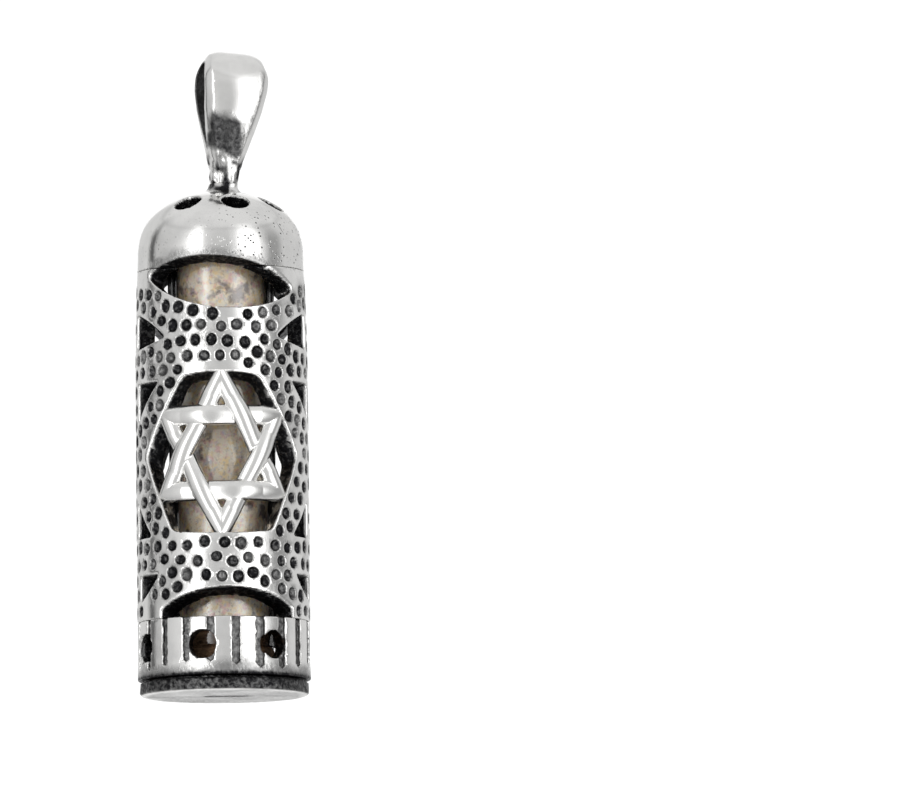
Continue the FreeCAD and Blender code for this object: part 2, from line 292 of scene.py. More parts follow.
def pit_places():
    """Arc and level of each pit: staggered rows that give way to one another and to the windows."""
    girth = tau * CASE_R
    rows = int((PIT_HIGH - PIT_LOW) / PIT_ROW) + 1
    round_count = int(girth / PIT_GAP)
    places = []
    for row in range(rows):
        for i in range(round_count):
            places.append(((i + 0.5 * (row % 2)) * tau * CASE_R / round_count, PIT_LOW + row * PIT_ROW))
    places = np.array(places) + rng.normal(0, PIT_SCATTER, (len(places), 2))
    places = places[room_at(places) > 0.05]
    step = 0.02
    for _ in range(PIT_PASSES):
        gap = places[:, None] - places[None]
        gap[..., 0] -= girth * np.round(gap[..., 0] / girth)
        distance = np.hypot(gap[..., 0], gap[..., 1]) + FAR * np.eye(len(places))
        push = np.maximum(PIT_APART - distance, 0) / distance
        places = places + PIT_PUSH * (gap * push[..., None]).sum(1)
        clear = room_at(places)
        shifted = [room_at(places + shift) for shift in ([step, 0], [0, step])]
        slope = np.stack([room - clear for room in shifted], 1) / step
        places = places + slope * np.maximum(PIT_CLEAR - clear, 0)[:, None] * PIT_CLEAR_PUSH
    in_rows = (places[:, 1] > PIT_LOW - 0.1) & (places[:, 1] < PIT_HIGH + 0.15)
    kept = []
    for place in places[in_rows & (room_at(places) > PIT_MIN_CLEAR)]:
        if all(np.hypot(*(place - other)) >= PIT_MIN_APART for other in kept):
            kept.append(place)
    return np.array(kept)


CHART_STEP = 0.025
CHART_LOW = SLEEVE_Z - 0.5
CHART_ROUND = int(round(tau * CASE_R / CHART_STEP))


def pit_charts():
    """Charts of the unrolled tube: distance to the nearest pit's middle, and how black that pit is."""
    tall = int((CAP_Z + 0.5 - CHART_LOW) / CHART_STEP)
    near = np.full((CHART_ROUND, tall), FAR, np.float32)
    black = np.zeros((CHART_ROUND, tall), np.float32)
    reach = int(PIT_REACH / CHART_STEP)
    steps = np.arange(-reach, reach + 1)
    for arc, z in pit_places():
        size = rng.uniform(*PIT_SIZES)
        stretch = rng.uniform(*PIT_STRETCHES)
        shade = 1.0 if rng.random() < PIT_BLACK_SHARE else rng.uniform(*PIT_GREYS)
        i = int(arc / CHART_STEP) + steps
        j = int((z - CHART_LOW) / CHART_STEP) + steps
        j = j[(j >= 0) & (j < tall)]
        across = (i * CHART_STEP - arc)[:, None] * stretch
        up = (j * CHART_STEP + CHART_LOW - z)[None] / stretch
        distance = np.hypot(across, up) / size
        patch = np.ix_(i % CHART_ROUND, j)
        closer = distance < near[patch]
        near[patch] = np.where(closer, distance, near[patch])
        black[patch] = np.where(closer, shade, black[patch])
    return near, black


pit_near, pit_black = pit_charts()


def read_chart(chart, angle, z):
    """A chart's value at each point, between its nearest four squares."""
    i = (np.radians(angle) * CASE_R) / CHART_STEP
    j = np.clip((z - CHART_LOW) / CHART_STEP, 0, chart.shape[1] - 1.001)
    i0, j0 = np.floor(i).astype(int), np.floor(j).astype(int)
    s, t = i - i0, j - j0
    i1, i0 = (i0 + 1) % CHART_ROUND, i0 % CHART_ROUND
    low = chart[i0, j0] * (1 - s) + chart[i1, j0] * s
    high = chart[i0, j0 + 1] * (1 - s) + chart[i1, j0 + 1] * s
    return low * (1 - t) + high * t


# ---------------------------------------------------------------- silver pieces as fields

def tilted_holes(p):
    """Field of the holes round the dome's shoulder."""
    total = np.full(len(p), FAR)
    tilt = radians(DOME_HOLE_TILT)
    q = p - [0, 0, DOME_HOLE_FROM_Z]
    for i in range(HOLES):
        turn = radians(DOME_HOLE_START + i * 360 / HOLES)
        along = np.array([sin(tilt) * sin(turn), -sin(tilt) * cos(turn), cos(tilt)])
        beside = np.linalg.norm(q - (q @ along)[:, None] * along, axis=1)
        total = np.minimum(total, np.where(q @ along > 0, beside, FAR) - DOME_HOLE_R)
    return total


def dome_field(p):
    """The domed cap, down to the seam with the sleeve."""
    r, angle, z = polar(p)
    outside, bore = shell(r, z)
    wall = smax(outside, -bore, 0.1)
    solid = smax(wall, -openings(angle, slanted(r, z), LENS_ALONE), 0.07)
    solid = smax(solid, -tilted_holes(p), 0.1)
    return smax(solid, CAP_Z + SEAM_GAP - z, 0.02)


def sleeve_field(p):
    """The pierced tube, pitted outside and a little rough on its windows' walls and inside."""
    r, angle, z = polar(p)
    outside, bore = shell(r, z)
    pit = PIT_R - np.hypot(read_chart(pit_near, angle, z), r - outer_radius(z) - PIT_OUT)
    solid = smax(outside, pit, 0.06)
    solid = smax(solid, -bore, 0.1)
    solid = smax(solid, -openings(angle, slanted(r, z)), WINDOW_EDGE)
    rough = smooth_step(0.05, 0.3, -outside) * 0.02 * noise(p, 0.22)
    return smax(smax(solid + rough, SLEEVE_Z - z, 0.07), z - CAP_Z, 0.02)


def vary(index, rate):
    """A number from 0 to 1 for each index, in no plain order."""
    return np.sin(index * rate) * 0.5 + 0.5


def groove_field(p):
    """Field of the foot ring's upright grooves, whose sides are ragged."""
    r, angle, z = polar(p)
    pitch = 360 / GROOVES
    index = np.floor(angle / pitch)
    arc = radians(1) * CASE_R * (angle - (index + 0.5) * pitch)
    half = GROOVE_HALVES[0] + GROOVE_HALVES[1] * vary(index, 12.9) + 0.03 * noise(p, 0.16, 1)
    low = GROOVE_FEET[0] + GROOVE_FEET[1] * vary(index, 5.3)
    foot = low - z + 0.8 * np.abs(arc)
    deep = CASE_R - GROOVE_DEEP - 0.03 * noise(p, 0.2, 2) - r
    return np.maximum(np.maximum(np.abs(arc) - half, foot), deep)


def foot_holes(p):
    """Field of the holes round the foot ring."""
    total = np.full(len(p), FAR)
    for i in range(HOLES):
        turn = radians(FOOT_HOLE_START + i * 360 / HOLES)
        across = p[:, 0] * cos(turn) + p[:, 1] * sin(turn)
        ahead = p[:, 0] * sin(turn) - p[:, 1] * cos(turn)
        hole = np.hypot(across, p[:, 2] - FOOT_HOLE_Z) - FOOT_HOLE_R
        total = np.minimum(total, np.where(ahead > 0, hole, FAR))
    return total


def ring_field(p):
    """The grooved foot ring with its holes."""
    r, _, z = polar(p)
    solid = smax(r - CASE_R, BORE_R - r, 0.1)
    solid = smax(solid, -groove_field(p), 0.05)
    solid = smax(solid, -foot_holes(p), 0.08)
    return smax(solid, np.maximum(FOOT_Z - z, z - SLEEVE_Z), 0.09)


def star_field(p):
    """Two woven triangular frames, each with a rounded crest, bent round the tube."""
    r, angle, z = polar(p)
    u, v = radians(1) * CASE_R * angle, z - HEX_Z
    total = np.full(len(p), FAR)
    crossing = STAR_LINE / np.sqrt(3)  # from the middle of a side to where it crosses another
    for first in (30, 90):
        turns = np.radians([first, first + 120, first + 240])
        reach = np.stack([u * cos(t) + v * sin(t) for t in turns])
        side = np.stack([v * cos(t) - u * sin(t) for t in turns])
        nearest = reach.argmax(0)
        along = np.take_along_axis(side, nearest[None], 0)[0]
        off = reach.max(0) - STAR_LINE
        weave = STAR_WEAVE * np.sin(np.clip(along / crossing, -2, 2) * pi / 2)
        crest = STAR_CREST + weave - STAR_CROWN * (off / STAR_HALF_BAR) ** 2
        bar = smax(np.abs(off) - STAR_HALF_BAR, r - crest, 0.12)
        total = smin(total, bar, 0.04)
    total = smax(total, STAR_BACK - r, 0.08)
    return np.maximum(total, hexagon(np.abs(u), slanted(r, z)) - STAR_IN_FRAME)


# Bail, in its own frame: Z up from the loop's underside, X along the eye
BAIL_X = 0.17
BAIL_Z = level("bail_loop", False)
BAIL_TALL = level("bail_loop", True) - BAIL_Z - 0.05
BAIL_DEEP = 1.85  # half of its depth at the fullest
BAIL_NECK = 0.62
BAIL_STRAP = 0.43
BAIL_DROP = 0.34  # how far the strap's outer face falls away at its edges
BAIL_DROP_IN = 0.3
BAIL_BULGE = 0.12  # how far the outer face swells between its neck and its top
BAIL_BEVEL = 0.27
BAIL_TURN, BAIL_LEAN = radians(12), radians(5.3)
BAIL_LEVELS = (0, 0.67, 1.65, 2.63, 3.6, 4.6, 5.6, 6.6)
BAIL_HALF_WIDTHS = (0.64, 0.68, 0.95, 1.21, 1.43, 1.57, 1.64, 1.65)
BAIL_MIDDLE = BAIL_TALL - BAIL_DEEP  # level of the middle of the loop's round top
EYE_LOW, EYE_LOW_R = 1.25, 0.06
POST_HALVES = (0.67, 0.66)
POST_FILLET = 0.4
POST_SPREAD = 1.5  # radius of the solder round the post


def drop_shape(y, z, low, low_r, high, high_r):
    """Outline of two circles on the Z axis and their common tangents."""
    y = np.abs(y)
    tall = high - low
    lean = (low_r - high_r) / tall
    upright = np.sqrt(1 - lean**2)
    beside = y * upright + (z - low) * lean
    along = (z - low) * upright - y * lean
    below = np.hypot(y, z - low) - low_r
    above = np.hypot(y, z - high) - high_r
    flank = beside - low_r
    return np.where(along < 0, below, np.where(along > upright * tall, above, flank))


def bail_frame(p):
    """Points in the bail's own frame."""
    turned = Matrix.Rotation(BAIL_TURN, 3, "Z") @ Matrix.Rotation(BAIL_LEAN, 3, "Y")
    return (p - [BAIL_X, 0, BAIL_Z]) @ np.array(turned)


def half_width(q):
    """Half of the strap's width at the level of points in the bail's own frame."""
    return np.interp(q[:, 2], BAIL_LEVELS, BAIL_HALF_WIDTHS)


def bail_eye(q):
    """Field of the bail's eye, for points in the bail's own frame."""
    eye = drop_shape(q[:, 1], q[:, 2], EYE_LOW, EYE_LOW_R, BAIL_MIDDLE, BAIL_DEEP - BAIL_STRAP)
    return eye + BAIL_DROP_IN * (q[:, 0] / half_width(q)) ** 2


def bail_field(p):
    """The teardrop strap loop, flared towards its top, with rough solder at its foot."""
    q = bail_frame(p)
    x, y, z = np.abs(q[:, 0]), q[:, 1], q[:, 2]
    half = half_width(q)
    edge_share = (x / half) ** 2
    drop = BAIL_DROP * smooth_step(0.3, 2.5, z) * smooth_step(6.2, 4.9, z)
    bulge = BAIL_BULGE * np.sin(np.clip((z - 0.8) / (BAIL_MIDDLE + 0.6), 0, 1) * pi)
    outer = drop_shape(y, z, 0.1, BAIL_NECK, BAIL_MIDDLE, BAIL_DEEP) + drop * edge_share - bulge
    shoulder = 0.14 + 1.0 * smooth_step(5.0, 6.2, z)
    bevel = 0.8 * (outer + 0.02) + 0.6 * (x - half + BAIL_BEVEL)
    solder = smooth_step(1.9, 0.9, z) * (0.05 * noise(p, 0.35, 3) + 0.015 * noise(p, 0.14, 4))
    solid = smax(smax(outer, bevel, 0.03), x - half, shoulder)
    solid = smax(solid + solder, -bail_eye(q), 0.12)
    return smax(solid, -0.02 - z, 0.05)


def post_field(p):
    """Squared post with a fillet of solder that spreads over the dome's top."""
    r, _, z = polar(p)
    q = bail_frame(p)
    squared = (np.abs(q[:, 0] / POST_HALVES[0]) ** 4 + np.abs(q[:, 1] / POST_HALVES[1]) ** 4 + 1e-9) ** 0.25
    pillar = (squared - 1) * POST_HALVES[1]
    dome = rounded_top(r, z, SEAM_R, DOME_H)
    joined = smin(pillar + 0.02 * noise(p, 0.3, 5), dome + 0.03, POST_FILLET)
    spread = np.hypot(p[:, 0] - BAIL_X, p[:, 1]) - POST_SPREAD
    return np.maximum(smax(joined, z - BAIL_Z - 0.03, 0.06), np.maximum(spread, -dome - 0.12))


# Base
DISC_R = float(node_box("base_plug")[1][0])
BASE_TOP = level("base_plug", True)
DISC_H = 0.62
SHOULDER_R = 3.72
THREAD_R = BORE_R - 0.04
THREAD_PITCH = 0.3
THREAD_DEEP = 0.09
SEAT_R = 2.72
SEAT_Z = BASE_TOP - 0.15
SLOT_HALF = (0.95, 0.17)
SLOT_DEEP = 0.22


def beside_slot(p):
    """Distance from the upright walls of the coin slot, negative between them."""
    return np.maximum(np.abs(p[:, 0]) - SLOT_HALF[0], np.abs(p[:, 1]) - SLOT_HALF[1])


def base_field(p):
    """The base: a disc with a coin slot below, and above it a shoulder and a threaded boss with a seat."""
    r, angle, z = polar(p)
    side = 0.03 * noise(p, 0.5, 6) + 0.02 * noise(p, 0.18, 7)
    disc = smax(r - DISC_R + 0.03 + side * smooth_step(3.7, 4.0, r), z - DISC_H, 0.07)
    disc = smax(disc, -z, 0.2)
    shoulder = np.maximum(np.maximum(r - SHOULDER_R, z - FOOT_Z + 0.02), 0.1 - z)
    turn = (z / THREAD_PITCH - angle / 360) % 1
    thread = r - THREAD_R + THREAD_DEEP * np.abs(2 * turn - 1)
    boss = smax(thread * 0.8, z - BASE_TOP, 0.05)
    boss = smax(boss, -np.maximum(r - SEAT_R, SEAT_Z - z), 0.04)
    solid = np.minimum(np.minimum(disc, shoulder), np.maximum(boss, 0.1 - z))
    return smax(solid, -smax(beside_slot(p), z - SLOT_DEEP, 0.05), 0.04)


# Stopper and vial
CORK_R = float(node_box("vial_stopper")[1][0])
CORK_Z, CORK_TOP = level("vial_stopper", False), level("vial_stopper", True)
VIAL_R = float(node_box("glass_vial")[1][0])
VIAL_MOUTH, VIAL_TOP = level("glass_vial", False), level("glass_vial", True)
VIAL_WALL = 0.22
VIAL_CORNER = 1.3
VIAL_LIP = 0.08


def cork_field(p):
    """The stopper: a head below the vial's mouth and a shank inside it."""
    r, _, z = polar(p)
    grain = 0.02 * noise(p, 0.35, 8) + 0.015 * noise(p, 0.15, 9) - 0.02
    head = smax(r - CORK_R, np.maximum(CORK_Z - z, z - VIAL_MOUTH), 0.15)
    shank = smax(r - VIAL_R + VIAL_WALL + 0.03, np.maximum(CORK_Z + 0.2 - z, z - CORK_TOP), 0.2)
    return np.minimum(head, shank) - grain + 0.02


# ---------------------------------------------------------------- from field to mesh

NEWTON_STEPS = 3
LONGEST_MOVE = 0.05  # at each step
SLOPE_STEP = 0.004
MISS = 0.02  # a point left further than this from the surface goes back to where it came from


def slope_of(field, p):
    """Gradient of a field at points."""
    parts = []
    for axis in range(3):
        shift = np.zeros(3)
        shift[axis] = SLOPE_STEP
        parts.append((field(p + shift) - field(p - shift)) / (2 * SLOPE_STEP))
    return np.stack(parts, 1)


def settle(field, p):
    """Moves points onto the surface of a field."""
    first = p
    for _ in range(NEWTON_STEPS):
        slope = slope_of(field, p)
        steep = np.maximum((slope**2).sum(1), 0.25)
        move = slope * (field(p) / steep)[:, None]
        p = p - np.clip(move, -LONGEST_MOVE, LONGEST_MOVE)
    missed = np.abs(field(p)) > MISS
    p[missed] = first[missed]
    return p


def sample(field, low, high, voxel, band):
    """The field's values on a grid, worked out only where a point's radius is in the band."""
    counts = np.ceil((high - low) / voxel).astype(int) + 1
    values = np.full(counts, 3 * voxel, np.float32)
    x, y, z = (low[a] + voxel * np.arange(counts[a]) for a in range(3))
    for i, x_here in enumerate(x):
        r = np.hypot(x_here, y)
        rows = np.nonzero((r > band[0]) & (r < band[1]))[0]
        if len(rows):
            p = np.empty((len(rows), len(z), 3))
            p[..., 0] = x_here
            p[..., 1] = y[rows, None]
            p[..., 2] = z
            values[i, rows] = field(p.reshape(-1, 3)).reshape(len(rows), len(z))
    return np.clip(values, -3 * voxel, 3 * voxel)


def finish_piece(name, mesh, body, replaced, material):
    """Makes a piece that rides on a body and stands for one CAD node."""
    piece = bpy.data.objects.new(name, mesh)
    bpy.context.scene.collection.objects.link(piece)
    mesh.materials.append(material)
    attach(piece, body)
    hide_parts(replaced)


def carve(field, low, high, voxel, tone=None, adaptivity=0.05, band=(0, 99)):
    """Mesh of a field's surface between two corners, with exact normals and a tone at each vertex."""
    voxel *= 1
    low, high = np.array(low) - 2.3 * voxel, np.array(high) + 2.3 * voxel
    grid = openvdb.FloatGrid(3 * voxel)
    grid.copyFromArray(sample(field, low, high, voxel, band))
    points, triangles, quads = grid.convertToPolygons(0.0, adaptivity)
    points = settle(field, points.astype(float) * voxel + low)
    normals = slope_of(field, points)
    normals /= np.linalg.norm(normals, axis=1)[:, None] + 1e-9
    mesh = bpy.data.meshes.new("carved")
    faces = quads.tolist() + triangles.tolist()
    mesh.from_pydata((points * MM).tolist(), [], faces)
    mesh.shade_smooth()
    mesh.normals_split_custom_set_from_vertices(normals.tolist())
    if tone is not None:
        attribute = mesh.attributes.new("tone", "FLOAT", "POINT")
        attribute.data.foreach_set("value", tone(points).astype(np.float32))
    return mesh


# ---------------------------------------------------------------- tones: 0 polished, 1 black: patina, and painted shade in places

def lattice_tone(p):
    """Black in the pits and on the windows' walls, with faint smudges between them."""
    r, angle, z = polar(p)
    depth = outer_radius(z) - r
    near = read_chart(pit_near, angle, z)
    in_pit = smooth_step(PIT_R + 0.02, PIT_R - 0.03, near) * read_chart(pit_black, angle, z)
    smudge = 0.4 * smooth_step(0.0, 0.6, noise(p, 1.1, 14))
    smudge = smudge + 0.2 * smooth_step(0.1, 0.6, noise(p, 0.3, 15))
    deep = smooth_step(0.05, 0.16, depth) * (near > PIT_R + 0.06)
    return np.maximum(np.maximum(in_pit, deep), smudge * smooth_step(0.7, 0.2, near))


def ring_tone(p):
    """Dark in the grooves and holes from patina, and towards the foot from painted shade."""
    r, _, z = polar(p)
    groove = smooth_step(0.03, 0.12, CASE_R - r) * np.where(r > CASE_R - 0.3, 0.82, 1.0)
    # Painted shade: a dark reflected band low on the ring, and a darker rim just above the gap to the base.
    foot = 0.62 * smooth_step(1.5, 1.0, z + 0.3 * noise(p, 0.8, 16)) + 0.8 * smooth_step(0.9, 0.78, z)
    return np.maximum(groove, np.minimum(foot, 1.0))


def dome_tone(p):
    """Black inside, and stained above the lens window."""
    r, angle, z = polar(p)
    lens_edge = openings(angle, z, LENS_ALONE)
    near_edge = 0.5 * smooth_step(0.32, 0.06, lens_edge + 0.12 * noise(p, 0.5, 18))
    return np.maximum(smooth_step(0.03, 0.1, -shell(r, z)[0]), near_edge)


def star_tone(p):
    """Dark on the emblem's lower sides and back."""
    r, _, _ = polar(p)
    return smooth_step(0.35, 0.6, STAR_CREST - r)


def bail_tone(p):
    """Dark in the eye and in the solder, with painted dark reflections: a ragged patch low on the front and a
    line near its right edge.
    """
    q = bail_frame(p)
    x, y, z = q[:, 0], q[:, 1], q[:, 2]
    inside = 0.85 * smooth_step(0.16, 0.04, bail_eye(q))
    solder = smooth_step(1.7, 0.9, z) * smooth_step(-0.3, 0.4, noise(p, 0.35, 10))
    ragged = 0.12 * noise(p, 0.4, 17)
    side = x + ragged
    # The ragged patch low on the front is a painted dark reflection.
    patch = smooth_step(3.25, 2.95, z + ragged + 0.3 * side) * smooth_step(1.15, 1.45, z + 0.4 * side)
    patch = 0.93 * patch * smooth_step(0.62, 0.42, side) * smooth_step(-1.2, -1.0, side) * (y < 0)
    # A painted dark reflection line runs down near the right edge.
    painted_reflection_line = smooth_step(0.2, 0.02, np.abs(x - half_width(q) + 0.4)) * smooth_step(0.5, 0.9, np.abs(y))
    painted_reflection_line = 0.42 * painted_reflection_line * smooth_step(2.2, 2.8, z) * smooth_step(5.7, 5.3, z)
    return np.maximum(np.maximum(inside, solder), np.maximum(patch, painted_reflection_line))


def base_tone(p):
    """Black at the side and above, grey underneath with a dark stain round the slot."""
    r, _, z = polar(p)
    side = np.maximum(smooth_step(4.0, 4.1, r), smooth_step(0.5, 0.6, z))
    side = 0.93 * side * smooth_step(0.01, 0.08, z)
    under = (0.52 + 0.15 * noise(p, 0.9, 19)) * smooth_step(4.05, 3.7, r)
    stain = 0.85 * smooth_step(0.5, 0.2, beside_slot(p) + 0.2 * noise(p, 0.4, 20))
    return np.maximum(np.maximum(side, under), stain)


# ---------------------------------------------------------------- materials

def feed(tree, target, value):
    """Links a socket to an input, or sets a plain value on it."""
    if isinstance(value, bpy.types.NodeSocket):
        tree.links.new(value, target)
    else:
        target.default_value = value


def node(tree, kind, **values):
    """Adds a shader node. Capitalised names are inputs, given a value or a socket; others are settings."""
    made = tree.nodes.new(kind)
    for key, value in values.items():
        if not key[0].isupper():
            setattr(made, key, value)
    for key, value in values.items():
        if key[0].isupper():
            feed(tree, made.inputs[key.replace("_", " ")], value)
    return made


def blank(name):
    """A material with an empty node tree."""
    material = bpy.data.materials.new(name)
    material.use_nodes = True
    tree = material.node_tree
    tree.nodes.clear()
    return material, tree


def place(tree):
    """Coordinates that go with the piece, in millimetres."""
    coordinates = node(tree, "ShaderNodeTexCoord").outputs["Object"]
    return node(tree, "ShaderNodeVectorMath", operation="SCALE", Vector=coordinates, Scale=1 / MM).outputs[0]


def speckle(tree, where, scale, detail=3.0, rough=0.55, stretch=None):
    """Noise with scale bumps to a millimetre."""
    if stretch:
        where = node(tree, "ShaderNodeMapping", Vector=where, Scale=stretch).outputs[0]
    made = node(tree, "ShaderNodeTexNoise", Vector=where, Scale=scale, Detail=detail, Roughness=rough)
    return made.outputs["Fac"]


def remap(tree, value, low, high, to_low=0.0, to_high=1.0):
    ends = {"From_Min": low, "From_Max": high, "To_Min": to_low, "To_Max": to_high}
    return node(tree, "ShaderNodeMapRange", Value=value, **ends).outputs[0]


def blend_colour(tree, share, a, b):
    """Colour a where the share is 0 and b where it is 1."""
    made = node(tree, "ShaderNodeMix", data_type="RGBA")
    feed(tree, made.inputs[0], share)
    for index, value in ((6, a), (7, b)):
        feed(tree, made.inputs[index], value if isinstance(value, bpy.types.NodeSocket) else (*value, 1))
    return made.outputs[2]


def arithmetic(tree, operation, a, b=0.0, clamp=False):
    made = node(tree, "ShaderNodeMath", operation=operation, use_clamp=clamp)
    for index, value in enumerate((a, b)):
        feed(tree, made.inputs[index], value)
    return made.outputs[0]


def bumped(tree, height):
    """Normals bent by a height in millimetres."""
    return node(tree, "ShaderNodeBump", Height=height, Strength=1.0, Distance=MM).outputs[0]


SILVER = (0.93, 0.925, 0.91)
SHADE = (0.5, 0.5, 0.5)
# Black of the patina in the hollows, also used for the painted shade and painted dark reflections that some
# tones carry
PATINA_AND_PAINTED_SHADE = (0.018, 0.018, 0.02)


def silver(name, polish=0.16, brushed=0.0015, tarnish=0.3, mottle=0.15, specks=0.0):
    """Cast silver: polished high places, black where the tone is high: patina, and painted shade where a tone
    paints it.
    """
    material, tree = blank(name)
    where = place(tree)
    tone = node(tree, "ShaderNodeAttribute", attribute_name="tone").outputs["Fac"]
    cloud = speckle(tree, where, 0.7, 4.0)
    grit = speckle(tree, where, 5.0, 3.0, 0.6)
    uneven = arithmetic(tree, "MULTIPLY", remap(tree, grit, 0.3, 0.7, -mottle, mottle), tone)
    dark = arithmetic(tree, "ADD", tone, uneven, clamp=True)
    if specks:  # small casting pores in patches low on the right
        cells = node(tree, "ShaderNodeTexVoronoi", Vector=where, Scale=4.5).outputs["Distance"]
        dots = remap(tree, cells, 0.14, 0.26, specks, 0.0)
        patch = remap(tree, speckle(tree, where, 0.9, 2.0), 0.38, 0.5)
        x, _, z = node(tree, "ShaderNodeSeparateXYZ", Vector=where).outputs
        right, low = remap(tree, x, -0.6, 0.8, 0.15, 1.0), remap(tree, z, 23.9, 23.0)
        patch = arithmetic(tree, "MULTIPLY", patch, arithmetic(tree, "MULTIPLY", right, low))
        dark = arithmetic(tree, "MAXIMUM", dark, arithmetic(tree, "MULTIPLY", dots, patch))
    stain = remap(tree, cloud, 0.42, 0.72, 0.0, tarnish)
    metal = blend_colour(tree, stain, SILVER, SHADE)
    colour = blend_colour(tree, dark, metal, PATINA_AND_PAINTED_SHADE)
    smooth = remap(tree, cloud, 0.3, 0.7, polish * 0.8, polish * 1.3)
    rough_dark = remap(tree, grit, 0.3, 0.7, 0.32, 0.55)
    mixed = node(tree, "ShaderNodeMix", data_type="FLOAT")
    for index, value in ((0, dark), (2, smooth), (3, rough_dark)):
        tree.links.new(value, mixed.inputs[index])
    swell = arithmetic(tree, "MULTIPLY", speckle(tree, where, 0.9, 1.0), 0.012)
    scratch = speckle(tree, where, 14.0, 2.0, 0.6, stretch=(1.0, 1.0, 0.12))
    scratch = arithmetic(tree, "MULTIPLY", scratch, brushed)
    pitted = arithmetic(tree, "MULTIPLY", arithmetic(tree, "MULTIPLY", grit, dark), 0.05)
    height = arithmetic(tree, "ADD", arithmetic(tree, "ADD", swell, scratch), pitted)
    normal = bumped(tree, height)
    shader = node(tree, "ShaderNodeBsdfPrincipled", Base_Color=colour, Metallic=1.0, Normal=normal)
    tree.links.new(mixed.outputs[0], shader.inputs["Roughness"])
    node(tree, "ShaderNodeOutputMaterial", Surface=shader.outputs[0])
    return material


def glass(name):
    """Thin clear glass: it lets light straight through, is painted dark towards its glancing edges, and
    mirrors more at a glancing angle.
    """
    material, tree = blank(name)
    where = place(tree)
    ripple = arithmetic(tree, "MULTIPLY", speckle(tree, where, 0.5, 1.0), 0.02)
    normal = bumped(tree, ripple)
    facing = node(tree, "ShaderNodeLayerWeight", Blend=0.5, Normal=normal).outputs["Facing"]
    mirrored = remap(tree, arithmetic(tree, "POWER", facing, 5.0), 0, 1, 0.075, 1.0)
    # Painted shade: the see-through colour goes dark towards the tube's glancing edges.
    painted_edge_shade = blend_colour(tree, remap(tree, facing, 0.48, 0.68), (0.98, 0.98, 0.98), (0.06, 0.06, 0.06))
    clear = node(tree, "ShaderNodeBsdfTransparent", Color=painted_edge_shade)
    gloss = node(tree, "ShaderNodeBsdfAnisotropic", Color=(1, 1, 1, 1), Roughness=0.04, Normal=normal)
    mixed = node(tree, "ShaderNodeMixShader")
    for index, value in enumerate((mirrored, clear.outputs[0], gloss.outputs[0])):
        tree.links.new(value, mixed.inputs[index])
    node(tree, "ShaderNodeOutputMaterial", Surface=mixed.outputs[0])
    return material


PARCHMENT = (0.84, 0.70, 0.51), (1.0, 0.94, 0.78)
# Place, spots to a millimetre, the noise at which they start and are full, their strength and their colour
PARCHMENT_SPOTS = (
    (11, 3.2, 0.50, 0.60, 0.75, (0.95, 0.70, 0.28)),
    (23, 2.8, 0.52, 0.62, 0.6, (0.80, 0.36, 0.40)),
    (37, 3.0, 0.54, 0.64, 0.4, (0.36, 0.46, 0.72)),
    (41, 0.8, 0.54, 0.63, 0.85, (0.10, 0.07, 0.075)),
    (53, 6.0, 0.54, 0.66, 0.45, (0.22, 0.15, 0.13)),
)


def parchment(name):
    """Aged parchment: tan, finely speckled with colour and smudged."""
    material, tree = blank(name)
    where = place(tree)
    cloud = speckle(tree, where, 0.55, 4.0)
    colour = blend_colour(tree, remap(tree, cloud, 0.35, 0.65), *PARCHMENT)
    for seed, scale, low, high, strength, tint in PARCHMENT_SPOTS:
        moved = node(tree, "ShaderNodeVectorMath", operation="ADD", Vector=where)
        moved.inputs[1].default_value = (seed, seed * 1.7, seed * 0.6)
        spots = remap(tree, speckle(tree, moved.outputs[0], scale, 5.0, 0.65), low, high, 0.0, strength)
        colour = blend_colour(tree, spots, colour, tint)
    fibre = arithmetic(tree, "MULTIPLY", speckle(tree, where, 7.0, 4.0, 0.6, stretch=(1, 1, 0.4)), 0.03)
    normal = bumped(tree, fibre)
    shader = node(tree, "ShaderNodeBsdfPrincipled", Base_Color=colour, Roughness=0.75, Normal=normal)
    node(tree, "ShaderNodeOutputMaterial", Surface=shader.outputs[0])
    return material


def cork(name):
    """Brown cork with a fine upright grain."""
    material, tree = blank(name)
    where = place(tree)
    grain = speckle(tree, where, 2.4, 5.0, 0.65, stretch=(1, 1, 2.4))
    colour = blend_colour(tree, remap(tree, grain, 0.35, 0.65), (0.10, 0.05, 0.025), (0.33, 0.20, 0.11))
    normal = bumped(tree, arithmetic(tree, "MULTIPLY", grain, 0.12))
    shader = node(tree, "ShaderNodeBsdfPrincipled", Base_Color=colour, Roughness=0.8, Normal=normal)
    node(tree, "ShaderNodeOutputMaterial", Surface=shader.outputs[0])
    return material


# ---------------------------------------------------------------- glass and parchment meshes

def lathe(profile, around=128):
    """Mesh turned about Z from (radius, level) points that end on the axis or close on themselves."""
    rings = []
    points, faces = [], []
    for r, z in profile:
        count = 1 if r < 1e-6 else around
        rings.append((len(points), count))
        for i in range(count):
            points.append((r * cos(tau * i / around) * MM, r * sin(tau * i / around) * MM, z * MM))
    for (a, a_count), (b, b_count) in zip(rings, rings[1:]):
        for i in range(around):
            j = (i + 1) % around
            if a_count == 1:
                faces.append((a, b + j, b + i))
            elif b_count == 1:
                faces.append((a + i, a + j, b))
            else:
                faces.append((a + i, a + j, b + j, b + i))
    mesh = bpy.data.meshes.new("turned")
    mesh.from_pydata(points, [], faces)
    mesh.shade_smooth()
    return mesh


def corner_arc(r, z, radius, steps=10):
    """Quarter circle from the side up onto the flat end, for a tube closed at level z."""
    turns = [pi / 2 * i / steps for i in range(steps + 1)]
    return [(r - radius + radius * cos(t), z - radius + radius * sin(t)) for t in turns]


def face_outwards(mesh):
    """Turns a closed mesh's faces outwards."""
    made = bmesh.new()
    made.from_mesh(mesh)
    bmesh.ops.recalc_face_normals(made, faces=made.faces)
    made.to_mesh(mesh)
    made.free()


